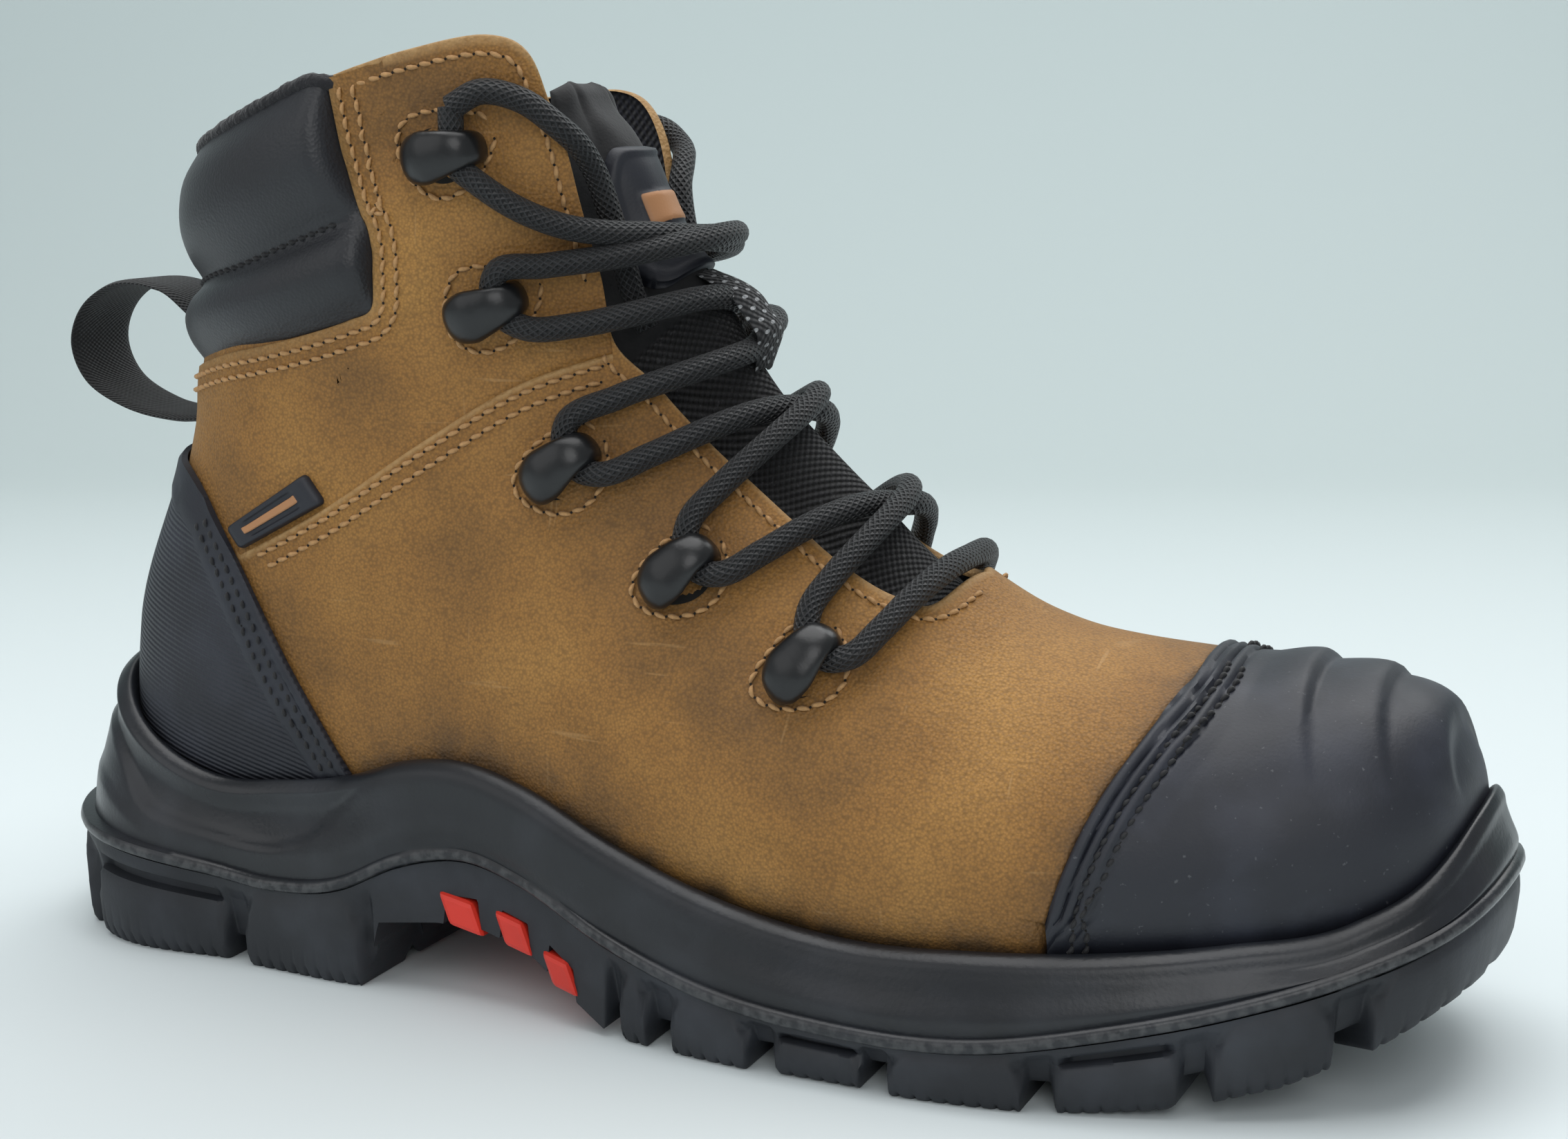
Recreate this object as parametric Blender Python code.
"""Right safety boot, built round a last.

Tables and helper functions work in millimetres: +X to the toe, -Y to the outer (lateral) side, +Z up,
floor at z = 0. Meshes are written in metres, and the whole boot hangs on one empty that puts the
origin at the middle of the base.
"""

import math
from collections import namedtuple

import bmesh
import bpy
import numpy as np

MM = 0.001
LATERAL = 1
MEDIAL = -1
SIDES = (("lateral", LATERAL), ("medial", MEDIAL))

# Driving dimensions
GAP = 0.3
WALL = 2.2
PANEL_STEP = 1.0
SEAM_HALF_WIDTH = 0.5
CAP_THICKNESS = 2.0
COUNTER_THICKNESS = 1.6
COUNTER_GAP = 0.5
PAD_GAP = 1.0
JOINT_GAP = 0.6
LACE_DIAMETER = 5.0
LACE_LIFT = 3.55
CROSSING_RISE = 2.2
SHARP_ANGLE = 40.0

# Sections of the last. Planes stand upright at x0 for the toe and fan back round a pivot above the
# ball for the rest. ridge and base are distances down from the pivot height, lat and med the half
# widths, belly the height of the widest point (0 ridge, 1 base), n_top and n_base the roundness.
PIVOT_X = 70.0
PIVOT_Z = 215.0
LAST_COLUMNS = ("x0", "tilt", "ridge", "base", "ridge_y", "lat", "med", "belly", "n_top", "n_base")
LAST = np.array((
    (147.0, 0.0, 168.0, 168.0, 9.0, 0.0, 0.0, 0.52, 2.2, 2.3),
    (144.0, 0.0, 155.0, 181.0, 9.0, 19.0, 15.0, 0.52, 2.2, 2.4),
    (135.5, 0.0, 145.5, 189.0, 8.0, 31.0, 25.0, 0.54, 2.2, 2.6),
    (121.0, 0.0, 141.0, 193.0, 7.0, 39.0, 32.0, 0.58, 2.1, 2.9),
    (98.0, 0.0, 139.5, 196.0, 5.0, 45.0, 37.0, 0.62, 2.0, 3.2),
    (70.0, 0.0, 136.0, 198.0, 3.0, 49.0, 41.0, 0.66, 1.85, 3.3),
    (70.0, 12.0, 125.0, 201.0, 1.0, 49.5, 41.0, 0.68, 1.65, 3.3),
    (70.0, 25.0, 115.0, 211.0, 0.0, 44.0, 36.0, 0.66, 1.6, 3.3),
    (70.0, 34.5, 110.0, 228.0, 0.0, 39.0, 35.0, 0.62, 1.7, 3.3),
    (70.0, 42.0, 105.0, 254.0, 0.0, 36.5, 35.5, 0.58, 1.9, 3.3),
    (70.0, 48.0, 101.0, 277.0, 0.0, 36.0, 35.5, 0.55, 2.0, 3.0),
    (70.0, 54.5, 97.0, 260.0, 0.0, 36.0, 35.5, 0.54, 2.1, 2.6),
    (70.0, 60.0, 94.0, 231.0, 0.0, 36.0, 35.5, 0.53, 2.2, 2.4),
    (70.0, 66.0, 91.0, 213.0, 0.0, 36.0, 35.5, 0.50, 2.3, 2.3),
    (70.0, 72.0, 89.0, 203.0, 0.0, 36.0, 35.5, 0.50, 2.4, 2.3),
    (70.0, 79.0, 87.0, 196.0, 0.0, 36.5, 36.0, 0.50, 2.5, 2.3),
    (70.0, 86.0, 86.0, 194.0, 0.0, 37.0, 36.5, 0.50, 2.5, 2.3),
))

# Bottom edge of the upper: row of the last, and degrees round its section from the ridge.
FEATHER_COLUMNS = ("row", "angle")
FEATHER = (
    (10.05, 180.0),
    (9.88, 168.0),
    (9.58, 158.0),
    (9.0, 150.0),
    (8.0, 142.0),
    (7.0, 140.0),
    (6.0, 144.0),
    (5.0, 145.0),
    (4.0, 145.0),
    (3.0, 147.0),
    (2.2, 152.0),
    (1.6, 163.0),
    (1.35, 180.0),
)

# Top edge of the upper seen from the side, on the lateral and the medial face, and the place along
# the bottom edge that the wall rises from. A point outside the last lies on its back or its ridge.
TOPLINE_COLUMNS = ("x", "z", "med_x", "med_z", "foot_x")
TOPLINE = (
    (-140.0, 162.5, -140.0, 162.5, -150.0),
    (-118.0, 169.0, -118.0, 168.0, -127.0),
    (-100.0, 175.0, -100.0, 172.0, -108.0),
    (-75.0, 184.3, -76.0, 178.0, -78.0),
    (-58.0, 189.0, -60.0, 181.0, -58.0),
    (-41.0, 191.8, -44.0, 182.0, -38.0),
    (-33.2, 188.0, -35.5, 178.5, -27.0),
    (-29.3, 177.0, -30.0, 169.0, -20.0),
    (-25.3, 159.0, -26.0, 155.0, -12.0),
    (-22.5, 146.0, -23.0, 145.0, -5.0),
    (-19.6, 132.5, -20.0, 133.0, 2.0),
    (-10.5, 123.7, -10.5, 123.7, 11.0),
    (3.3, 110.3, 3.3, 110.3, 22.0),
    (16.3, 100.3, 16.3, 100.3, 36.0),
    (27.8, 92.0, 27.8, 92.0, 50.0),
    (39.0, 86.3, 39.0, 86.3, 66.0),
    (46.5, 85.0, 46.5, 86.5, 92.0),
    (57.0, 132.0, 57.0, 132.0, 160.0),
)

# Ribs of the wall between rows of the topline. They follow the last's sections at the heel, look
# straight from the side in the middle, and run over the toe.
RIB_COLUMNS = ("from_row", "to_row", "ribs")
RIB_RUNS = ((0, 3, 8), (3, 15, 13), (15, 16, 2), (16, 17, 6))
HEEL_ROWS = 3.0
TOE_ROWS = 2.0

# Edges seen from the side, as (x, z): the seam where the lower panel laps the shaft, which runs out
# under the heel counter, the rear edge of the toe cap, and the front edge of the heel counter.
SEAM = (
    (-140.0, 107.0), (-124.0, 105.4), (-109.0, 98.5), (-101.0, 87.0), (-79.5, 98.3), (-57.0, 112.9),
    (-37.0, 124.9), (-20.0, 131.0), (20.0, 140.0),
)
SEAM_START = -101.0
SEAM_FADE = 14.0
SEAM_LAST_ROW = 9.5
CAP_EDGE = (
    (75.0, 15.0), (76.0, 28.0), (80.0, 43.5), (84.7, 55.6), (90.5, 66.0), (95.0, 73.5), (96.5, 90.0),
)
COUNTER_EDGE = (
    (-140.0, 107.0), (-124.0, 105.4), (-109.0, 98.5), (-101.0, 87.0), (-91.0, 69.2), (-75.0, 43.0),
    (-60.0, 18.0),
)

# The sole by stations along the rim: height of the rim, how far lip, wall and flange stand out from
# the upper, height of the parting line at the edge and of the joint further in.
SOLE_COLUMNS = ("x", "rim", "lip", "wall", "flange", "part", "core")
SOLE = np.array((
    (-143.0, 60.0, 7.0, 11.5, 16.0, 25.0, 19.0),
    (-130.0, 48.0, 7.0, 10.5, 14.0, 22.5, 18.0),
    (-110.0, 39.0, 6.8, 9.0, 10.5, 19.5, 17.0),
    (-90.0, 40.0, 6.0, 8.5, 10.0, 18.0, 17.0),
    (-72.0, 43.5, 6.0, 8.0, 9.0, 21.0, 19.0),
    (-60.0, 47.8, 6.0, 7.0, 6.5, 27.0, 24.0),
    (-46.0, 49.6, 6.0, 6.0, 4.5, 30.0, 26.5),
    (-30.0, 46.5, 6.0, 6.0, 4.5, 27.0, 23.5),
    (-10.0, 38.0, 6.0, 6.5, 6.5, 19.0, 15.0),
    (12.0, 30.8, 6.5, 8.0, 9.0, 13.0, 11.0),
    (40.0, 26.2, 7.0, 9.5, 10.5, 10.0, 9.0),
    (64.0, 27.0, 7.0, 9.5, 10.5, 10.5, 9.0),
    (88.0, 28.6, 7.0, 9.0, 10.0, 15.0, 12.0),
    (108.0, 31.0, 6.5, 8.5, 9.5, 20.0, 16.0),
    (128.0, 35.0, 6.0, 8.0, 9.0, 27.0, 21.0),
    (140.0, 43.0, 5.0, 7.0, 8.0, 33.0, 25.0),
    (147.0, 53.0, 3.5, 6.0, 7.0, 38.0, 28.0),
))

# Ground line of the tread along the sole: heel, breast, arch, forefoot and toe spring.
TREAD = (
    (-165.0, 4.0), (-158.0, 2.0), (-150.0, 0.0), (-69.0, 0.0), (-65.5, 14.5), (-52.0, 16.0), (-41.0, 16.0),
    (-29.0, 13.0), (-18.0, 6.0), (-8.0, 0.0), (84.0, 0.0), (100.0, 1.5), (120.0, 6.5), (135.0, 13.0),
    (155.0, 24.0),
)
GROOVE_DEPTH = 5.0
LUG_INSET = 4.0
LUG_WALL = 0.8
LUG_DRAFT = 0.9
LUG_STATION = 12.0
LEAST_TREAD = 2.0
HEEL_RIBS = 3
TOE_RIBS = 6
ARCH_STATIONS = (-65.5, -62.5, -57.0, -41.0, -28.0, -14.0)
GAP_STATIONS = (-145.2, -102.2)
WAIST = (-80.0, -12.0)
EDGE_INSET = 0.9
BAND_HEIGHT = 2.8
BAND_STEP = 0.4
# Where each side lug starts and ends along the edge of the sole.
LUGS = (
    (-170.0, -147.5), (-143.0, -104.0), (-100.5, -69.0), (-8.0, 0.5), (4.0, 23.0), (26.5, 46.0), (49.5, 77.0),
    (80.5, 104.0), (107.5, 129.5), (133.5, 170.0),
)
ARCH_BARS = ((-50.5, -41.5), (-37.0, -29.0), (-25.0, -17.5))
ARCH_INSET = 1.2
ARCH_BAR_DEPTH = 6.2
ARCH_BAR_INSET = 1.6
ARCH_BAR_PROUD = 0.8
SPINE = (-118.0, 112.0)
LUG_REACH = 0.40
CENTRE_REACH = 0.46

# Collar pad from its front edge to the middle of the back: lower border and crease seen from the
# side, and where each rib meets the topline.
PAD_COLUMNS = ("low_x", "low_z", "crease_x", "crease_z", "top_x")
PAD = (
    (-66.5, 138.5, -69.0, 157.5, -75.5),
    (-78.0, 135.0, -83.0, 152.5, -87.0),
    (-94.0, 131.0, -99.0, 147.0, -101.0),
    (-110.0, 127.5, -113.0, 143.5, -117.0),
    (-140.0, 118.5, -140.0, 134.0, -140.0),
)
PAD_PROFILE = (1.4, 3.4, 4.6, 3.6, 1.4, 3.6, 5.4, 5.6, 4.4, 1.6)
COLLAR_ROWS = 5
PAD_EDGE = 0.5
PAD_RIBS_PER_ROW = 3
PAD_END_FULLNESS = 0.35
PAD_FILL_PER_RIB = 0.25

# Eyelet loops seen from the side, and the tilt of their long axis.
EYELET_COLUMNS = ("x", "z", "med_x", "med_z", "tilt")
EYELETS = (
    (-50.0, 169.4, -52.0, 162.0, 12.0),
    (-43.3, 139.5, -43.3, 138.5, 23.0),
    (-27.7, 108.5, -27.7, 108.5, 38.0),
    (-1.1, 89.6, -1.1, 89.6, 42.0),
    (26.4, 74.3, 26.4, 74.3, 52.0),
)
EYELET_LENGTH = 14.5
EYELET_WIDTH = 7.4
EYELET_BAR = 3.2
EYELET_RISE = 5.4
EYELET_GAP = 0.9
EYELET_LEAN = 0.35
EYELET_POINTS = 7
EYELET_SIDES = 6
LACE_AHEAD = 6.0
LACE_BESIDE = 7.0
STRAND_POINTS = 11
# Where the bar and then each crossing, from the toe up, pass the middle of the throat: row of the last
# and height over it.
LACE_MIDDLES = ((5.9, 0.5), (6.5, 0.3), (7.65, 0.3), (9.0, -0.2), (10.5, -1.0))
STRAND_DROP_POWER = 6
STRAND_SIDES = 6
LACE_END_POINTS = 13

# Tongue across its rows: degrees round the section, depth of the face below the last, and padding.
TONGUE_ROWS = (5.3, 6.0, 6.8, 7.8, 8.8, 9.8, 10.6, 11.4, 12.2, 13.0, 13.9)
TONGUE_ANGLES = (-46.0, -36.0, -26.0, -14.0, 0.0, 14.0, 26.0, 36.0, 46.0)
TONGUE_CROWN = -2.4
TONGUE_EDGE = -6.4
TONGUE_CROWN_ANGLE = 26.0
# The tongue leans back into the empty shaft: row of the last, and depth of its middle below the ridge.
TONGUE_LEAN = (
    (5.3, -2.4), (8.4, -2.6), (9.1, -3.1), (10.1, -5.5), (11.1, -9.4), (12.3, -12.4), (12.8, -15.0),
    (13.4, -19.0), (13.9, -21.0),
)
TONGUE_HALF_ANGLE = 46.0
TONGUE_SIDE_LEAN = 0.6
TONGUE_THICKNESS = 5.0
TONGUE_TUCK = -6.2
TONGUE_TUCK_ROW = 6.6
TONGUE_TUCK_FADE = 0.9

PULL_LOOP = (
    (-129.4, 134.2), (-137.5, 139.6), (-149.0, 140.5), (-158.0, 135.5), (-161.5, 127.0), (-157.5, 118.5),
    (-147.0, 113.2), (-136.0, 111.4), (-128.4, 111.6),
)
PULL_LOOP_WIDTH = 20.0
PULL_LOOP_THICKNESS = 1.6

TAG_CORNERS = ((-99.8, 88.6), (-79.2, 99.6), (-83.7, 105.4), (-103.2, 92.8))
TAG_GAP = 0.5
TAG_THICKNESS = 1.6
PATCH_ROWS = (10.2, 12.5)
PATCH_ANGLE = 24.0
PATCH_THICKNESS = 2.0
KEEPER_ROWS = (8.15, 8.7, 9.3, 10.05)
KEEPER_LIFTS = (-1.8, 6.2, 6.2, -4.4)
KEEPER_ANGLE = 11.0
KEEPER_THICKNESS = 1.4

# Loose lace ends seen from the side, with the height of the cord's middle over the last.
LACE_END_COLUMNS = ("x", "z", "lift")
LACE_END = (
    (-47.5, 178.5, 2.4),
    (-42.0, 181.5, 2.6),
    (-35.0, 180.0, 2.8),
    (-29.0, 175.0, 2.4),
    (-25.4, 171.2, -0.4),
    (-22.6, 166.0, -3.0),
    (-20.4, 158.0, -3.6),
    (-18.6, 150.0, -3.4),
    (-16.6, 142.0, -3.4),
    (-14.0, 136.0, -3.4),
)


def spline(knots, values, at):
    """Smooth curve through values at rising knots."""
    knots = np.asarray(knots, float)
    values = np.asarray(values, float)
    slopes = np.gradient(values, knots, axis=0)
    at = np.clip(np.asarray(at, float), knots[0], knots[-1])
    k = np.clip(np.searchsorted(knots, at, side="right") - 1, 0, len(knots) - 2)
    width = knots[k + 1] - knots[k]
    t = (at - knots[k]) / width
    if values.ndim > 1:
        t = t[..., None]
        width = width[..., None]
    start = (2 * t**3 - 3 * t**2 + 1) * values[k] + (t**3 - 2 * t**2 + t) * width * slopes[k]
    end = (3 * t**2 - 2 * t**3) * values[k + 1] + (t**3 - t**2) * width * slopes[k + 1]
    return start + end


def edge_line(table):
    """Straight runs through (x, y) pairs, as a function of x."""
    xs, ys = np.array(table).T
    return lambda at: np.interp(at, xs, ys)


SEAM_Z = edge_line(SEAM)
CAP_X = edge_line([(z, x) for x, z in CAP_EDGE])
COUNTER_Z = edge_line(COUNTER_EDGE)
TREAD_Z = edge_line(TREAD)


def sole_at(x, name):
    return spline(SOLE[:, 0], SOLE[:, SOLE_COLUMNS.index(name)], x)


def mirrored_last():
    """The last's rows with one past each end: the toe's mirror image, and a straight run at the top."""
    toe = LAST[1].copy()
    ridge, base = LAST_COLUMNS.index("ridge"), LAST_COLUMNS.index("base")
    toe[ridge], toe[base] = LAST[1][base], LAST[1][ridge]
    for half_width in ("lat", "med"):
        toe[LAST_COLUMNS.index(half_width)] *= -1
    return np.vstack([toe, LAST, 2 * LAST[-1] - LAST[-2]])


LAST_ROWS = mirrored_last()


def last_row(s):
    """Every column of the last at a row number, smooth between the rows."""
    s = np.clip(np.asarray(s, float), 0, len(LAST) - 1 - 1e-9)
    k = np.floor(s).astype(int)
    t = (s - k)[..., None]
    before, here, there, after = (LAST_ROWS[k + i] for i in range(4))
    start = (2 * t**3 - 3 * t**2 + 1) * here + (t**3 - 2 * t**2 + t) * (there - before) / 2
    end = (3 * t**2 - 2 * t**3) * there + (t**3 - t**2) * (after - here) / 2
    return dict(zip(LAST_COLUMNS, np.moveaxis(start + end, -1, 0)))


FINE_ROWS = np.linspace(0, len(LAST) - 1, 4001)
FINE_LAST = last_row(FINE_ROWS)
HALVINGS = 26


def last_point(p, q):
    """Point on the last. hypot(p, q) is the row, atan2(p, q) the angle from the ridge, lateral first."""
    p, q = np.broadcast_arrays(np.asarray(p, float), np.asarray(q, float))
    row = last_row(np.hypot(p, q))
    angle = np.arctan2(p, q)
    top = np.abs(angle) <= math.pi / 2
    power = 2 / np.where(top, row["n_top"], row["n_base"])
    across = np.abs(np.sin(angle)) ** power
    along = np.abs(np.cos(angle)) ** power
    depth = np.where(top, row["belly"] * (1 - along), row["belly"] + (1 - row["belly"]) * along)
    reach = row["ridge"] + (row["base"] - row["ridge"]) * depth
    half_width = np.where(angle >= 0, row["lat"], row["med"])
    tilt = np.radians(row["tilt"])
    y = row["ridge_y"] - np.sign(angle) * half_width * across
    return np.stack([row["x0"] - reach * np.sin(tilt), y, PIVOT_Z - reach * np.cos(tilt)], -1)


def last_normal(p, q, step=0.02):
    """Outward unit normal of the last."""
    p, q = np.asarray(p, float), np.asarray(q, float)
    along_p = last_point(p + step, q) - last_point(p - step, q)
    along_q = last_point(p, q + step) - last_point(p, q - step)
    normal = np.cross(along_q, along_p)
    return normal / np.linalg.norm(normal, axis=-1, keepdims=True)


def skin(pq, lift):
    """Point at a height over the last. pq has two columns."""
    pq = np.asarray(pq, float)
    lift = np.asarray(lift, float)[..., None]
    return last_point(pq[..., 0], pq[..., 1]) + lift * last_normal(pq[..., 0], pq[..., 1])


def flat(places):
    """Places given as row and angle, turned into p and q."""
    row, angle = places[..., 0], places[..., 1]
    return np.stack([row * np.sin(angle), row * np.cos(angle)], -1)


def from_side(x, z, side):
    """Row and angle of the place that shows at (x, z) from the side, found by halving the range of rows."""
    x, z = np.asarray(x, float), np.asarray(z, float)
    low, high = np.zeros(x.shape), np.full(x.shape, len(LAST) - 1.0)
    for _ in range(HALVINGS):
        mid = (low + high) / 2
        tilt = np.radians(np.interp(mid, FINE_ROWS, FINE_LAST["tilt"]))
        start = np.interp(mid, FINE_ROWS, FINE_LAST["x0"])
        ahead = (start - x) * np.cos(tilt) - (PIVOT_Z - z) * np.sin(tilt) > 0
        low, high = np.where(ahead, mid, low), np.where(ahead, high, mid)
    row = last_row(low)
    tilt = np.radians(row["tilt"])
    reach = (row["x0"] - x) * np.sin(tilt) + (PIVOT_Z - z) * np.cos(tilt)
    depth = np.clip((reach - row["ridge"]) / (row["base"] - row["ridge"]), 0, 1)
    over = np.clip(1 - depth / row["belly"], 0, 1) ** (row["n_top"] / 2)
    under = np.clip((depth - row["belly"]) / (1 - row["belly"]), 0, 1) ** (row["n_base"] / 2)
    angle = np.where(depth <= row["belly"], np.arccos(over), math.pi - np.arccos(under))
    return np.stack([low, angle * side], -1)


def step_depth(x):
    """Depth of the shaft below the lower panel. It runs out at the heel counter."""
    return PANEL_STEP * np.clip((x - SEAM_START) / SEAM_FADE, 0, 1)


def panel(x, z):
    """Height of the upper's face over the last: the shaft lies a step below the lower panel."""
    past = np.clip((z - SEAM_Z(x)) / (2 * SEAM_HALF_WIDTH) + 0.5, 0, 1)
    return -step_depth(x) * past


def feather_curve(side, count=400):
    """Bottom edge of the upper as rows and angles, evenly spaced from the heel to the toe."""
    table = np.array(FEATHER)
    table[:, 1] = np.radians(table[:, 1]) * side
    fine = spline(np.arange(len(table)), table, np.linspace(0, len(table) - 1, count))
    steps = np.linalg.norm(np.diff(skin(flat(fine), np.zeros(count)), axis=0), axis=1)
    run = np.concatenate([[0], np.cumsum(steps)])
    even = np.linspace(0, run[-1], count)
    return np.stack([np.interp(even, run, fine[:, 0]), np.interp(even, run, fine[:, 1])], -1)


FEATHER_LINE = {side: feather_curve(side) for _, side in SIDES}


def feather_place(foot_x, side):
    """Share of the bottom edge, heel 0 to toe 1, at an x."""
    line = FEATHER_LINE[side]
    xs = skin(flat(line), np.zeros(len(line)))[:, 0]
    return np.interp(foot_x, xs, np.linspace(0, 1, len(line)))


def topline(side):
    """Top edge of the upper on one side, as (x, z) seen from the side."""
    first = TOPLINE_COLUMNS.index("x" if side == LATERAL else "med_x")
    return np.array(TOPLINE)[:, first:first + 2]


Ribs = namedtuple("Ribs", "foot top side heel toe")


def ribs(places, side):
    """Ribs of the wall at row numbers of the topline: both ends, and how much each is a heel or toe rib."""
    knots = np.arange(len(TOPLINE))
    top = spline(knots, from_side(*topline(side).T, side), places)
    foot_x = np.array(TOPLINE)[:, TOPLINE_COLUMNS.index("foot_x")]
    share = spline(knots, feather_place(foot_x, side), places)
    line = FEATHER_LINE[side]
    steps = np.linspace(0, 1, len(line))
    foot = np.stack([np.interp(share, steps, line[:, 0]), np.interp(share, steps, line[:, 1])], -1)
    return Ribs(foot, top, side, ease(1 - places / HEEL_ROWS), ease(1 - (knots[-1] - places) / TOE_ROWS))


def ease(share):
    share = np.clip(share, 0, 1)
    return share**2 * (3 - 2 * share)


def along(start, end, shares):
    """Places on the way from start to end in row and angle, as p and q, at each one's own shares."""
    shares = np.asarray(shares, float)[..., None]
    return flat(start[:, None] * (1 - shares) + end[:, None] * shares)


def along_ribs(wall, shares):
    """Places on each rib at its own list of shares, foot 0 to top 1."""
    shares = np.asarray(shares, float)
    foot, top = flat(wall.foot)[:, None], flat(wall.top)[:, None]
    over_toe = foot * (1 - shares[..., None]) + top * shares[..., None]
    low, high = last_point(foot[..., 0], foot[..., 1]), last_point(top[..., 0], top[..., 1])
    line = low * (1 - shares[..., None]) + high * shares[..., None]
    upright = flat(from_side(line[..., 0], line[..., 2], wall.side))
    heel, toe = wall.heel[:, None, None], wall.toe[:, None, None]
    return along(wall.foot, wall.top, shares) * heel + over_toe * toe + upright * (1 - heel - toe)


def crossing(wall, inside, start=None):
    """Share of each rib at which it leaves the area where inside(x, z) holds, 0 where it never is in it."""
    shares = np.linspace(0, 1, 601)
    pq = along_ribs(wall, np.tile(shares, (len(wall.foot), 1)))
    points = last_point(pq[..., 0], pq[..., 1])
    held = inside(points[..., 0], points[..., 2])
    if start is not None:
        held = held | (shares[None] < start[:, None])
    first_out = np.argmax(~held, axis=1)
    return np.where(held.all(axis=1), 1.0, shares[np.maximum(first_out, 0)])


def under_rim(x, z):
    return z < sole_at(x, "rim")


def in_cap(x, z):
    return x > CAP_X(z)


def below_seam(x, z):
    return z < SEAM_Z(x)


def in_counter(x, z):
    return z < COUNTER_Z(x)


def rim_places(side):
    """Row numbers of the topline whose ribs meet the corners of counter and cap at the rim."""
    places = np.linspace(0, len(TOPLINE) - 1, 800)
    wall = ribs(places, side)
    at_rim = along_ribs(wall, crossing(wall, under_rim)[:, None])[:, 0]
    point = last_point(at_rim[:, 0], at_rim[:, 1])
    behind = places[in_counter(point[:, 0], point[:, 2])].max()
    ahead = places[in_cap(point[:, 0], point[:, 2])].min()
    return behind, ahead


CORNERS = {side: rim_places(side) for _, side in SIDES}
CORNER_SPLIT = 0.02


def rib_places(side):
    """Ribs of the wall: even steps along the topline, doubled at the corners of counter and cap."""
    runs = [np.linspace(start, end, count, endpoint=False) for start, end, count in RIB_RUNS]
    even = np.append(np.concatenate(runs), len(TOPLINE) - 1)
    for corner in CORNERS[side]:
        nearest = np.argmin(np.abs(even - corner))
        even[nearest] = corner - CORNER_SPLIT
        even = np.insert(even, nearest + 1, corner + CORNER_SPLIT)
    return even


def new_object(name, vertices, faces, material, smooth=True):
    """Mesh object from millimetre points, its faces turned outward."""
    mesh = bpy.data.meshes.new(name)
    mesh.from_pydata([tuple(v) for v in np.asarray(vertices) * MM], [], faces)
    work = bmesh.new()
    work.from_mesh(mesh)
    bmesh.ops.recalc_face_normals(work, faces=work.faces)
    work.to_mesh(mesh)
    work.free()
    if smooth:
        mesh.shade_smooth()
        mesh.set_sharp_from_angle(angle=math.radians(SHARP_ANGLE))
    mesh.materials.append(material)
    obj = bpy.data.objects.new(name, mesh)
    bpy.context.scene.collection.objects.link(obj)
    return obj


def shell(name, outer, inner, material, ring=False, falling=()):
    """Wall between two grids of points (rib, row). A ring closes on itself, a strip gets end faces.

    Quads split along the same diagonal of the last on neighbouring pieces: falling lists the steps
    that run from toe to heel."""
    count, rows = outer.shape[:2]
    vertices = np.concatenate([outer.reshape(-1, 3), inner.reshape(-1, 3)])
    half = count * rows
    faces = []
    for i in range(count if ring else count - 1):
        here, there = i * rows, (i + 1) % count * rows
        for j in range(rows - 1):
            quad = (here + j, there + j, there + j + 1, here + j + 1)
            if i in falling:
                quad = quad[1:] + quad[:1]
            a, b, c, d = quad
            faces.append((a, b, c, d))
            faces.append((half + a, half + d, half + c, half + b))
        for j, turn in ((0, 1), (rows - 1, -1)):
            faces.append((here + j, half + here + j, half + there + j, there + j)[::turn])
    if not ring:
        for start, turn in ((0, 1), ((count - 1) * rows, -1)):
            for j in range(rows - 1):
                faces.append((start + j, start + j + 1, half + start + j + 1, half + start + j)[::turn])
    return new_object(name, vertices, faces, material)


def slab(name, left, right, material):
    """Solid between matching profiles of its two sides. The sides share their first and last profile."""
    count, rows = left.shape[:2]
    vertices = np.concatenate([left.reshape(-1, 3), right[1:-1].reshape(-1, 3)])

    def index(side, i, j):
        if side == LATERAL or i in (0, count - 1):
            return i * rows + j
        return count * rows + (i - 1) * rows + j

    def face(a, b, c, d, turn):
        corners = (a, b, c, d) if turn == 1 else (a, d, c, b)
        kept = list(dict.fromkeys(corners))
        if len(kept) > 2:
            faces.append(kept)

    faces = []
    for i in range(count - 1):
        for side in (LATERAL, MEDIAL):
            for j in range(rows - 1):
                here, there = index(side, i, j), index(side, i + 1, j)
                face(here, there, index(side, i + 1, j + 1), index(side, i, j + 1), side)
        for j, turn in ((0, -1), (rows - 1, 1)):
            here, there = index(LATERAL, i, j), index(LATERAL, i + 1, j)
            face(here, there, index(MEDIAL, i + 1, j), index(MEDIAL, i, j), turn)
    return new_object(name, vertices, faces, material)


def sweep(name, path, ups, half_width, half_height, sides, material):
    """Rod of oval section along a path, with flat ends."""
    path = np.asarray(path, float)
    ups = np.asarray(ups, float)
    tangent = np.gradient(path, axis=0)
    tangent /= np.linalg.norm(tangent, axis=1, keepdims=True)
    across = np.cross(tangent, ups)
    across /= np.linalg.norm(across, axis=1, keepdims=True)
    height = np.cross(across, tangent)
    turn = (np.arange(sides) + 0.5) * 2 * math.pi / sides
    ring = np.cos(turn)[None, :, None] * across[:, None] * half_width
    ring = ring + np.sin(turn)[None, :, None] * height[:, None] * half_height
    vertices = (path[:, None] + ring).reshape(-1, 3)
    faces = [tuple(range(sides)), tuple(range((len(path) - 1) * sides, len(path) * sides))]
    for i in range(len(path) - 1):
        for j in range(sides):
            k = (j + 1) % sides
            faces.append((i * sides + j, i * sides + k, (i + 1) * sides + k, (i + 1) * sides + j))
    return new_object(name, vertices, faces, material)


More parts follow.
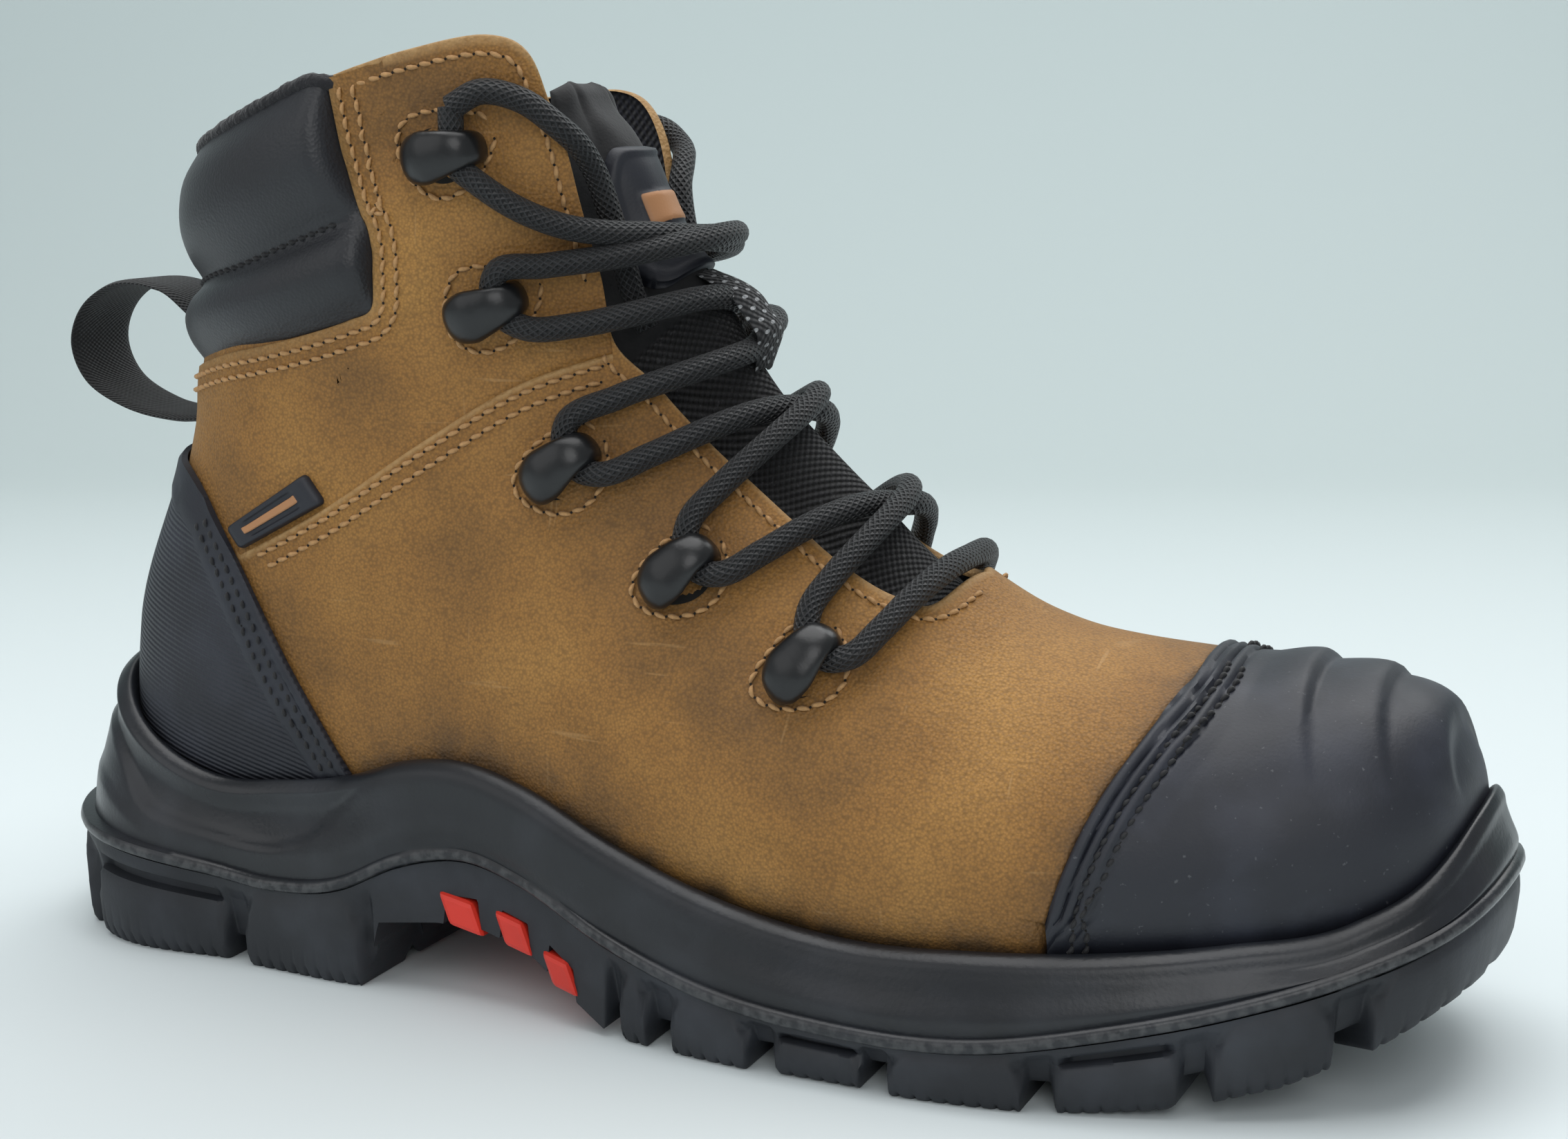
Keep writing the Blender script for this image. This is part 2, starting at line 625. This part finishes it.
def surface(name, colour, roughness, metallic=0.0):
    material = bpy.data.materials.new(name)
    material.use_nodes = True
    shader = material.node_tree.nodes["Principled BSDF"]
    shader.inputs["Base Color"].default_value = (*colour, 1.0)
    shader.inputs["Roughness"].default_value = roughness
    shader.inputs["Metallic"].default_value = metallic
    return material


def ring_of(make):
    """One closed list of ribs: lateral from heel to toe, then medial back to the heel."""
    lateral, medial = make(LATERAL), make(MEDIAL)
    return np.concatenate([lateral, medial[-2:0:-1]])


CUP_SHARES = (0.0, 0.5, 1.0)
RISE_SHARES = (0.25, 0.5, 0.75, 1.0)
TOP_SHARES = (0.33, 0.67, 1.0)
LEAST_BREAK, MOST_BREAK = 0.2, 0.95
BREAK_HALF_WIDTH = 0.6
SHORTEST_RIB = 30.0


def rows_to(rim, edge, rises):
    """Shares of the rows on each rib: up the cup to the rim, then on to an edge above it."""
    cup = np.array(CUP_SHARES)[None] * rim[:, None]
    rise = rim[:, None] + np.asarray(rises)[None] * (edge - rim)[:, None]
    return np.concatenate([cup, rise], axis=1)


def wall_breaks(places, side):
    """For each rib the shares of the rim and of the step in its wall, and half the step's width."""
    wall = ribs(places, side)
    rim = crossing(wall, under_rim)
    _, ahead = CORNERS[side]
    has_cap = places > ahead
    has_seam = places < SEAM_LAST_ROW
    seam = np.clip(crossing(wall, below_seam), LEAST_BREAK, MOST_BREAK)
    cap = np.clip(crossing(wall, in_cap, start=rim), LEAST_BREAK, MOST_BREAK)
    between = np.interp(places, (SEAM_LAST_ROW, ahead), (seam[has_seam][-1], cap[has_cap][0]))
    step = np.where(has_cap, cap, np.where(has_seam, seam, between))
    ends = along_ribs(wall, np.tile((0.0, 1.0), (len(places), 1)))
    chord = np.diff(last_point(ends[..., 0], ends[..., 1]), axis=1)[:, 0]
    half = BREAK_HALF_WIDTH / np.maximum(np.linalg.norm(chord, axis=1), SHORTEST_RIB)
    return wall, rim, step, half


def upper_grid(side):
    """Places and heights of the upper's face, with rows on either side of its step."""
    places = rib_places(side)
    wall, rim, step, half = wall_breaks(places, side)
    lower = rows_to(rim, step - half, RISE_SHARES)
    past = (step + half)[:, None]
    shares = np.concatenate([lower, past, past + np.array(TOP_SHARES)[None] * (1 - past)], axis=1)
    pq = along_ribs(wall, shares)
    rows_below = lower.shape[1]
    lift = np.zeros(shares.shape)
    has_seam = places < SEAM_LAST_ROW
    depth = step_depth(last_point(pq[..., 0], pq[..., 1])[..., 0])
    lift[has_seam, rows_below:] = -depth[has_seam, rows_below:]
    lift[places > CORNERS[side][1], :rows_below] = -CAP_THICKNESS - GAP
    return pq, lift


def make_upper(material):
    pq, lift = (ring_of(lambda side: upper_grid(side)[k]) for k in (0, 1))
    falling = range(len(rib_places(LATERAL)) - 1, len(pq))
    return shell("upper", skin(pq, lift), skin(pq, lift - WALL), material, ring=True, falling=falling)


CAP_SHARES = np.linspace(0, 1, 9)[1:]
RIDGES = (114.0, 127.0, 138.0)
RIDGE_HEIGHT = 1.5
RIDGE_REACH = 58.0
RIDGE_HALF = 5.0
WELT_HEIGHT = 0.8


def cap_height(pq):
    """Raised cross ridges on top of the cap, steep on the toe side, fading down its sides."""
    x = last_point(pq[..., 0], pq[..., 1])[..., 0]
    angle = np.degrees(np.abs(np.arctan2(pq[..., 0], pq[..., 1])))
    fade = np.clip(1 - (angle / RIDGE_REACH) ** 2, 0, 1)
    height = np.zeros(x.shape)
    for ridge in RIDGES:
        height = np.maximum(height, np.clip(1 - np.abs(x - ridge) / RIDGE_HALF, 0, 1))
    return RIDGE_HEIGHT * height * fade


def cap_grid(side):
    places = rib_places(side)
    wall, rim, step, half = wall_breaks(places, side)
    shares = rows_to(rim, step - half, CAP_SHARES)
    shares[:, -1] -= half * GAP / BREAK_HALF_WIDTH
    return along_ribs(wall, shares)[places > CORNERS[side][1]]


def strip_of(make):
    """One open strip of ribs: lateral to the middle, then on to the medial end."""
    lateral, medial = make(LATERAL), make(MEDIAL)
    return np.concatenate([lateral, medial[-2::-1]])


def make_toe_cap(material):
    pq = strip_of(cap_grid)
    outer = cap_height(pq)
    outer[:, -1] += WELT_HEIGHT
    inner = np.full(outer.shape, -CAP_THICKNESS)
    falling = range(len(cap_grid(LATERAL)) - 1, len(pq))
    return shell("toe_cap", skin(pq, outer), skin(pq, inner), material, falling=falling)


COUNTER_SHARES = (0.25, 0.5, 0.75, 1.0)


def counter_grid(side):
    places = rib_places(side)
    wall = ribs(places, side)
    rim = crossing(wall, under_rim)
    shares = rows_to(rim, crossing(wall, in_counter, start=rim), COUNTER_SHARES)
    return along_ribs(wall, shares)[places < CORNERS[side][0]][::-1]


def make_heel_counter(material):
    pq = strip_of(counter_grid)
    seat = np.full(pq.shape[:2], COUNTER_GAP)
    outer, inner = skin(pq, seat + COUNTER_THICKNESS), skin(pq, seat)
    return shell("heel_counter", outer, inner, material, falling=range(len(counter_grid(LATERAL)) - 1))


def pad_grid(side):
    low_x, low_z, crease_x, crease_z, top_x = np.array(PAD).T
    knots = np.arange(len(PAD))
    places = np.linspace(0, len(PAD) - 1, (len(PAD) - 1) * PAD_RIBS_PER_ROW + 1)
    top_z = edge_line(topline(side)[:COLLAR_ROWS])(top_x)
    lines = ((low_x, low_z), (crease_x, crease_z), (top_x, top_z))
    low, crease, top = (spline(knots, from_side(x, z, side), places) for x, z in lines)
    half = len(PAD_PROFILE) // 2
    lower = along(low, crease, np.tile(np.linspace(0, 1, half), (len(places), 1)))
    upper = along(crease, top, np.tile(np.linspace(0, 1, half + 1)[1:], (len(places), 1)))
    return np.concatenate([lower, upper], axis=1)


def make_collar_pad(material):
    pq = strip_of(pad_grid)
    ends = np.minimum(np.arange(len(pq)), np.arange(len(pq))[::-1])
    fullness = np.clip(PAD_END_FULLNESS + PAD_FILL_PER_RIB * ends, 0, 1)[:, None]
    seat = PAD_GAP - step_depth(last_point(pq[..., 0], pq[..., 1])[..., 0])
    outer = np.maximum(np.array(PAD_PROFILE)[None] * fullness, seat + PAD_EDGE)
    return shell("collar_pad", skin(pq, outer), skin(pq, seat), material)


def plan_normals(points, side):
    """Outward level normals along a half outline that starts and ends on the boot's long axis."""
    tangent = np.gradient(points[:, :2], axis=0)
    tangent /= np.linalg.norm(tangent, axis=1, keepdims=True)
    normal = np.stack([tangent[:, 1], -tangent[:, 0], np.zeros(len(points))], -1) * side
    normal[0] = (-1, 0, 0)
    normal[-1] = (1, 0, 0)
    return normal


RIM_SMOOTHING = 9


def outline(side, count=500):
    """Fine half outline of the rim with its outward normals, and the sole's sizes at each place."""
    places = np.linspace(0, len(TOPLINE) - 1, count)
    wall = ribs(places, side)
    rim = skin(along_ribs(wall, crossing(wall, under_rim)[:, None])[:, 0], np.zeros(count))
    kernel = np.ones(RIM_SMOOTHING) / RIM_SMOOTHING
    margin = RIM_SMOOTHING // 2
    padded = np.pad(rim, ((margin, margin), (0, 0)), mode="edge")
    rim = np.stack([np.convolve(padded[:, k], kernel, mode="valid") for k in range(3)], -1)
    return places, rim, plan_normals(rim, side)


OUTLINES = {side: outline(side) for _, side in SIDES}


def at_places(side, places):
    """Rim point and outward normal at row numbers of the topline."""
    fine, rim, normals = OUTLINES[side]
    point = np.stack([np.interp(places, fine, rim[:, k]) for k in range(3)], -1)
    normal = np.stack([np.interp(places, fine, normals[:, k]) for k in range(3)], -1)
    return point, normal / np.linalg.norm(normal, axis=1, keepdims=True)


FLOOR_DROP = 0.5
CORE_INSET = 9.0
FLANGE_HEIGHT = 2.2
FLANGE_ROOT = 0.6
# Roll along the midsole's rim: heights from the rim, and reach as shares of the lip.
ROLL_RISE = 0.6
ROLL_DROP = 0.9
ROLL_FOOT = 3.2
ROLL_TOP_SHARE = 0.45
ROLL_SIDE_SHARE = 0.85
ROLL_LEAST = 1.2
SHOULDER_SHARE = 0.3
SHOULDER_DROP = 1.5
SHOULDER_REACH = 0.4


def level(point, normal, out, z):
    """Point moved out along its level normal, at its own height z."""
    moved = point + normal * np.asarray(out)[:, None]
    moved[:, 2] = z
    return moved


def joint_line(side):
    """Edge and core of the joint under the midsole at the wall's ribs, with their level normals."""
    places = rib_places(side)
    point, normal = at_places(side, places)
    flange = sole_at(point[:, 0], "flange")
    edge = level(point, normal, flange, sole_at(point[:, 0], "part"))
    core = level(point, normal, flange - CORE_INSET, sole_at(point[:, 0], "core"))
    return places, edge, core, normal


def midsole_profile(side):
    """Sections of the tray from its floor up the cup, over the lip and down to the joint with the outsole."""
    places = rib_places(side)
    wall_ribs = ribs(places, side)
    rim_share = crossing(wall_ribs, under_rim)
    clear = GAP + np.where(places < CORNERS[side][0], COUNTER_GAP + COUNTER_THICKNESS, 0.0)
    cup = along_ribs(wall_ribs, np.array(CUP_SHARES)[None] * rim_share[:, None])
    cup = skin(cup, np.repeat(clear[:, None], len(CUP_SHARES), axis=1))
    floor = cup[:, 0] - (0, 0, FLOOR_DROP)
    point, normal = at_places(side, places)
    size = {name: sole_at(point[:, 0], name) for name in SOLE_COLUMNS[1:]}
    lip, wall, flange = size["lip"], size["wall"], size["flange"]
    rim, part = size["rim"], size["part"]
    _, edge, core, _ = joint_line(side)
    shoulder = rim - SHOULDER_SHARE * (rim - part)
    hip = (1 - SHOULDER_REACH) * lip + SHOULDER_REACH * wall
    root = (wall + flange) / 2 - FLANGE_ROOT
    rows = [
        level(point, normal, np.maximum(clear + ROLL_LEAST, ROLL_TOP_SHARE * lip), rim + ROLL_RISE),
        level(point, normal, ROLL_SIDE_SHARE * lip, rim - ROLL_DROP),
        level(point, normal, lip, rim - ROLL_FOOT),
        level(point, normal, hip, shoulder - SHOULDER_DROP),
        level(point, normal, wall, (shoulder + part) / 2),
        level(point, normal, root, part + FLANGE_HEIGHT + FLANGE_ROOT),
        level(point, normal, flange, part + FLANGE_HEIGHT),
        edge,
        core,
    ]
    return np.concatenate([floor[:, None], cup, np.stack(rows, axis=1)], axis=1)


def join_ends(lateral, medial):
    """Both sides with one shared profile on the long axis at the heel and at the toe."""
    for end in (0, -1):
        lateral[end] = medial[end] = (lateral[end] + medial[end]) / 2
    return lateral, medial


def make_midsole(material):
    return slab("midsole", *join_ends(midsole_profile(LATERAL), midsole_profile(MEDIAL)), material)


def tread_stations():
    """Stations along the edge of the sole, in pairs at each wall of a lug or slot, and what each carries."""
    marks = []
    for start, end in LUGS:
        marks += [(start, "gap"), (start + LUG_WALL, "lug"), (end - LUG_WALL, "lug"), (end, "gap")]
        marks += [(x, "lug") for x in np.arange(start + LUG_STATION, end - LUG_STATION / 2, LUG_STATION)]
    for start, end in ARCH_BARS:
        marks += [(start, "arch"), (start + LUG_WALL, "slot"), (end - LUG_WALL, "slot"), (end, "arch")]
    marks += [(x, "arch") for x in ARCH_STATIONS]
    marks += [(x, "gap") for x in GAP_STATIONS]
    edges = [joint_line(side)[1][:, 0] for _, side in SIDES]
    for x in edges[0][(edges[0] > WAIST[0]) & (edges[0] < WAIST[1])]:
        in_slot = any(start < x < end for start, end in ARCH_BARS)
        in_lug = any(start < x < end for start, end in LUGS)
        if min(abs(x - mark) for mark, _ in marks) > LUG_WALL:
            marks.append((x, "slot" if in_slot else "lug" if in_lug else "arch"))
    first = max(edge[HEEL_RIBS - 1] for edge in edges)
    last = min(edge[-TOE_RIBS] for edge in edges)
    return sorted((x, kind) for x, kind in marks if first < x < last)


def joint_at(xs, side, ends=False):
    """Edge, core and level normal of the joint at x values along the edge, straight between the ribs.

    With ends, the ribs round the heel and the toe come before and after them."""
    places, edge, core, normal = joint_line(side)
    at = np.interp(xs, np.maximum.accumulate(edge[:, 0]), places)
    if ends:
        at = np.concatenate([places[:HEEL_RIBS], at, places[-TOE_RIBS:]])
    edge, core, normal = (
        np.stack([np.interp(at, places, line[:, k]) for k in range(3)], -1) for line in (edge, core, normal)
    )
    return edge, core, normal / np.linalg.norm(normal, axis=1, keepdims=True)


def outsole_profile(side, stations):
    """Sections from the joint out to the edge, down the side, under and in to the middle of the tread."""
    edge, core, normal = joint_at([x for x, _ in stations], side, ends=True)
    kinds = np.array(["lug"] * HEEL_RIBS + [kind for _, kind in stations] + ["lug"] * TOE_RIBS)
    part = edge[:, 2]
    ground = TREAD_Z(edge[:, 0])
    lug = kinds == "lug"
    slot = kinds == "slot"
    arch = slot | (kinds == "arch")
    inset = np.where(lug, 0.0, np.where(arch, ARCH_INSET, LUG_INSET))
    side_raise = np.where(lug, 0.0, np.where(slot, ARCH_BAR_DEPTH, np.where(arch, 0.0, GROOVE_DEPTH)))
    centre_raise = np.where(lug, GROOVE_DEPTH, np.where(slot, ARCH_BAR_DEPTH, 0.0))
    side_z = ground + side_raise
    band = np.maximum(part - BAND_HEIGHT, side_z + LUG_DRAFT)
    spine = np.clip(edge, (SPINE[0], 0, 0), (SPINE[1], 0, 0))
    low = level(edge, normal, -inset - LUG_DRAFT, side_z)
    ledge = EDGE_INSET / CORE_INSET

    def toward_spine(share, raised):
        moved = low * (1 - share) + spine * share
        ceiling = sole_at(moved[:, 0], "core") - JOINT_GAP - LEAST_TREAD
        moved[:, 2] = np.minimum(TREAD_Z(moved[:, 0]) + raised, ceiling)
        return moved

    rows = [
        core - (0, 0, JOINT_GAP),
        edge * (1 - ledge) + core * ledge - (0, 0, JOINT_GAP),
        level(edge, normal, np.full(len(part), -2 * EDGE_INSET), np.maximum(part - FLANGE_HEIGHT, band)),
        level(edge, normal, -inset, band - BAND_STEP),
        low,
        toward_spine(LUG_REACH, side_raise),
        toward_spine(CENTRE_REACH, centre_raise),
    ]
    return np.stack(rows, axis=1)


def make_outsole(material):
    stations = tread_stations()
    sides = (outsole_profile(side, stations) for side in (LATERAL, MEDIAL))
    return slab("outsole", *join_ends(*sides), material)


def make_arch_bar(number, start, end, material):
    """Bar that fills its slot across the waist and stands a little proud of it."""
    xs = np.linspace(start + LUG_WALL + GAP, end - LUG_WALL - GAP, 3)
    grids = []
    for side in (LATERAL, MEDIAL):
        edge, _, normal = joint_at(xs, side)
        out = np.full(len(xs), -ARCH_BAR_INSET)
        ground = TREAD_Z(edge[:, 0])
        heights = (ground + ARCH_BAR_DEPTH - GAP, ground - ARCH_BAR_PROUD)
        grids.append([level(edge, normal, out, z) for z in heights])
    top = np.stack([grids[0][0], grids[1][0]], axis=1)
    bottom = np.stack([grids[0][1], grids[1][1]], axis=1)
    return shell(f"arch_bar_{number}", top, bottom, material)


INSOLE_THICKNESS = 4.0
INSOLE_INSET = 3.4
INSOLE_ROUND = 1.0
INSOLE_LIFT = 0.2


def insole_profile(side):
    foot = flat(ribs(rib_places(side), side).foot)
    point = skin(foot, np.zeros(len(foot)))
    normal = plan_normals(point, side)
    clear = np.where(rib_places(side) > CORNERS[side][1], CAP_THICKNESS + GAP, 0.0) + INSOLE_INSET
    top = INSOLE_THICKNESS
    rows = [(clear + INSOLE_ROUND, top), (clear, top - INSOLE_ROUND), (clear, INSOLE_LIFT)]
    return np.stack([level(point, normal, -inset, point[:, 2] + z) for inset, z in rows], axis=1)


def make_insole(material):
    return slab("insole", *join_ends(insole_profile(LATERAL), insole_profile(MEDIAL)), material)


def tongue_lift(row, angle):
    """Height of the tongue's face over the last: padded in the middle, low under the flaps, leaning back at the top."""
    share = np.clip(np.abs(angle) / TONGUE_CROWN_ANGLE, 0, 1)
    face = TONGUE_CROWN + (TONGUE_EDGE - TONGUE_CROWN) * share**2
    lean = spline(*np.array(TONGUE_LEAN).T, row) - TONGUE_CROWN
    across = np.clip(np.abs(angle) / TONGUE_HALF_ANGLE, 0, 1)
    middle = np.cos(across * math.pi / 2) ** 2
    return face + lean * (TONGUE_SIDE_LEAN + (1 - TONGUE_SIDE_LEAN) * middle)


def make_tongue(material):
    rows, angles = np.meshgrid(TONGUE_ROWS, TONGUE_ANGLES, indexing="ij")
    pq = flat(np.stack([rows, np.radians(angles)], -1))
    tucked = np.clip((TONGUE_TUCK_ROW - rows) / TONGUE_TUCK_FADE, 0, 1)
    lift = tongue_lift(rows, angles) * (1 - tucked) + TONGUE_TUCK * tucked
    return shell("tongue", skin(pq, lift), skin(pq, lift - TONGUE_THICKNESS), material)


def on_tongue(name, rows, angles, lifts, thickness, material):
    """Small sheet that lies on the tongue, at heights over the last given row by row."""
    row_grid, angle_grid = np.meshgrid(rows, angles, indexing="ij")
    pq = flat(np.stack([row_grid, np.radians(angle_grid)], -1))
    base = np.asarray(lifts, float)
    return shell(name, skin(pq, base + thickness), skin(pq, base), material)


def make_tongue_patch(material):
    rows = np.linspace(*PATCH_ROWS, 5)
    angles = np.linspace(-PATCH_ANGLE, PATCH_ANGLE, 7)
    lifts = tongue_lift(rows[:, None], angles[None]) + GAP
    return on_tongue("tongue_patch", rows, angles, lifts, PATCH_THICKNESS, material)


def make_lace_keeper(material):
    angles = np.linspace(-KEEPER_ANGLE, KEEPER_ANGLE, 3)
    rows = np.linspace(KEEPER_ROWS[0], KEEPER_ROWS[-1], 9)
    lifts = np.tile(np.interp(rows, KEEPER_ROWS, KEEPER_LIFTS)[:, None], (1, len(angles)))
    return on_tongue("lace_keeper", rows, angles, lifts, KEEPER_THICKNESS, material)


def make_side_tag(material):
    """Flat tag on the lateral side just above the seam."""
    low_back, low_front, high_front, high_back = (np.array(corner) for corner in TAG_CORNERS)
    share = np.linspace(0, 1, 5)[:, None]
    low = low_back * (1 - share) + low_front * share
    high = high_back * (1 - share) + high_front * share
    grid = np.stack([low, (low + high) / 2, high], axis=1)
    pq = flat(from_side(grid[..., 0], grid[..., 1], LATERAL))
    seat = TAG_GAP - step_depth(grid[..., 0])
    return shell("side_tag", skin(pq, seat + TAG_THICKNESS), skin(pq, seat), material)


def make_pull_loop(material):
    """Webbing sewn to the back at both ends."""
    table = np.array(PULL_LOOP)
    path = spline(np.arange(len(table)), table, np.linspace(0, len(table) - 1, 17))
    tangent = np.gradient(path, axis=0)
    tangent /= np.linalg.norm(tangent, axis=1, keepdims=True)
    side = np.stack([tangent[:, 1], -tangent[:, 0]], -1) * PULL_LOOP_THICKNESS / 2
    widths = np.linspace(-PULL_LOOP_WIDTH / 2, PULL_LOOP_WIDTH / 2, 3)

    def sheet(flat):
        rows = [np.stack([flat[:, 0], np.full(len(flat), y), flat[:, 1]], -1) for y in widths]
        return np.stack(rows, axis=1)

    return shell("pull_loop", sheet(path + side), sheet(path - side), material)


def eyelet_foot(row, side, reach):
    """Place on the leather at a distance from an eyelet's middle along its long axis, and its normal."""
    x, z, med_x, med_z, tilt = row
    if side == MEDIAL:
        x, z = med_x, med_z
    lean = math.radians(tilt)
    x, z = x + reach * math.cos(lean), z + reach * math.sin(lean)
    pq = flat(from_side(x, z, side))
    return skin(pq, panel(x, z) + EYELET_GAP), last_normal(pq[0], pq[1])


def make_eyelet(name, row, side, material):
    """Moulded loop: an arched bar with both feet on the leather."""
    reach = EYELET_LENGTH / 2 - EYELET_BAR / 2
    (back, back_up), (front, front_up) = (eyelet_foot(row, side, r) for r in (-reach, reach))
    turn = np.linspace(math.pi, 0, EYELET_POINTS)[:, None]
    share = (1 + np.cos(turn)) / 2
    normal = (back_up + front_up) / np.linalg.norm(back_up + front_up)
    path = back * (1 - share) + front * share + normal * EYELET_RISE * np.sin(turn)
    ups = (front - back) / EYELET_LENGTH * np.cos(turn) + normal * (EYELET_LEAN + np.sin(turn))
    return sweep(name, path, ups, EYELET_WIDTH / 2, EYELET_BAR / 2, EYELET_SIDES, material)


def lace_start(row, side, leading):
    """Place beside an eyelet where a strand comes out, ahead of it or behind it along the throat."""
    x, z, med_x, med_z, tilt = row
    if side == MEDIAL:
        x, z = med_x, med_z
    lean = math.radians(tilt)
    beside = LACE_BESIDE if leading else -LACE_BESIDE
    x += LACE_AHEAD * math.cos(lean) + beside * math.sin(lean)
    z += LACE_AHEAD * math.sin(lean) - beside * math.cos(lean)
    return from_side(x, z, side)


def strand(start, end, middle):
    """Middle line of one strand over the throat, with the direction away from the last."""
    share = np.linspace(0, 1, STRAND_POINTS)
    bend = np.sin(math.pi * share)
    places = start * (1 - share[:, None]) + end * share[:, None]
    places[:, 0] += (middle[0] - (start[0] + end[0]) / 2) * bend
    lift = LACE_LIFT + (middle[1] - LACE_LIFT) * bend**STRAND_DROP_POWER
    pq = flat(places)
    return skin(pq, lift), last_normal(pq[:, 0], pq[:, 1])


def make_strand(name, start, end, middle, material):
    path, ups = strand(start, end, middle)
    return sweep(name, path, ups, LACE_DIAMETER / 2, LACE_DIAMETER / 2, STRAND_SIDES, material)


def make_lace(material):
    """Bar over the lowest eyelets, and a crossing between each two pairs above it, fused where they meet."""
    ends = (lace_start(EYELETS[-1], side, True) for _, side in SIDES)
    objects = [make_strand("lace_bar", *ends, LACE_MIDDLES[0], material)]
    for number, (upper, lower) in enumerate(zip(EYELETS[-2::-1], EYELETS[:0:-1]), start=1):
        name = f"lace_cross_{number}"
        row, lift = LACE_MIDDLES[number]
        ends = lace_start(lower, LATERAL, False), lace_start(upper, MEDIAL, True)
        over = make_strand(name, *ends, (row, lift + CROSSING_RISE), material)
        ends = lace_start(lower, MEDIAL, False), lace_start(upper, LATERAL, True)
        under = make_strand(name + "_under", *ends, (row, lift), material)
        under.hide_render = True
        under.display_type = "WIRE"
        fuse = over.modifiers.new("fuse", "BOOLEAN")
        fuse.operation = "UNION"
        fuse.object = under
        objects += [over, under]
    return objects


def make_lace_end(name, side, material):
    """Free end of the lace from the top eyelet over the flap's edge and down beside the tongue."""
    table = np.array(LACE_END)
    dx = EYELETS[0][2] - EYELETS[0][0] if side == MEDIAL else 0.0
    dz = EYELETS[0][3] - EYELETS[0][1] if side == MEDIAL else 0.0
    fade = np.linspace(1, 0, len(table))
    pq = flat(from_side(table[:, 0] + dx * fade, table[:, 1] + dz * fade, side))
    route = skin(pq, table[:, 2])
    fine = spline(np.arange(len(route)), route, np.linspace(0, len(route) - 1, LACE_END_POINTS))
    curve = bpy.data.curves.new(name, "CURVE")
    curve.dimensions = "3D"
    curve.bevel_depth = LACE_DIAMETER / 2 * MM
    curve.bevel_resolution = 2
    curve.use_fill_caps = True
    line = curve.splines.new("POLY")
    line.points.add(len(fine) - 1)
    for knot, place in zip(line.points, fine * MM):
        knot.co = (*place, 1.0)
    curve.materials.append(material)
    obj = bpy.data.objects.new(name, curve)
    bpy.context.scene.collection.objects.link(obj)
    return obj


def clear_scene():
    for obj in list(bpy.data.objects):
        bpy.data.objects.remove(obj, do_unlink=True)


def stand_on_origin(objects, cords):
    """Hang every piece on one empty that puts the middle of the base at the origin."""
    meshes = [obj.data for obj in objects if obj not in cords]
    points = np.concatenate([np.array([vertex.co for vertex in mesh.vertices]) for mesh in meshes])
    low, high = points.min(axis=0), points.max(axis=0)
    boot = bpy.data.objects.new("boot", None)
    bpy.context.scene.collection.objects.link(boot)
    boot.location = (-(low[0] + high[0]) / 2, -(low[1] + high[1]) / 2, -low[2])
    for obj in objects:
        obj.parent = boot


def build():
    clear_scene()
    leather = surface("leather", (0.33, 0.17, 0.06), 0.75)
    rubber = surface("rubber", (0.018, 0.018, 0.02), 0.6)
    foam = surface("foam", (0.02, 0.02, 0.022), 0.42)
    cap_rubber = surface("cap_rubber", (0.022, 0.022, 0.026), 0.7)
    counter_rubber = surface("counter_rubber", (0.018, 0.018, 0.022), 0.65)
    padding = surface("padding", (0.02, 0.02, 0.024), 0.5)
    textile = surface("textile", (0.012, 0.012, 0.013), 0.9)
    webbing = surface("webbing", (0.015, 0.015, 0.016), 0.85)
    plastic = surface("plastic", (0.012, 0.012, 0.013), 0.3)
    accent = surface("accent", (0.7, 0.03, 0.015), 0.45)
    cord = surface("cord", (0.014, 0.014, 0.015), 0.8)
    objects = [
        make_outsole(rubber),
        make_midsole(foam),
        make_insole(textile),
        make_upper(leather),
        make_tongue(textile),
        make_toe_cap(cap_rubber),
        make_heel_counter(counter_rubber),
        make_collar_pad(padding),
        make_pull_loop(webbing),
        make_side_tag(counter_rubber),
        make_tongue_patch(counter_rubber),
        make_lace_keeper(webbing),
    ]
    for number, (start, end) in enumerate(ARCH_BARS, start=1):
        objects.append(make_arch_bar(number, start, end, accent))
    for side_name, side in SIDES:
        for number, row in enumerate(EYELETS, start=1):
            objects.append(make_eyelet(f"eyelet_{side_name}_{number}", row, side, plastic))
    objects += make_lace(cord)
    cords = [make_lace_end(f"lace_end_{side_name}", side, cord) for side_name, side in SIDES]
    stand_on_origin(objects + cords, cords)


build()
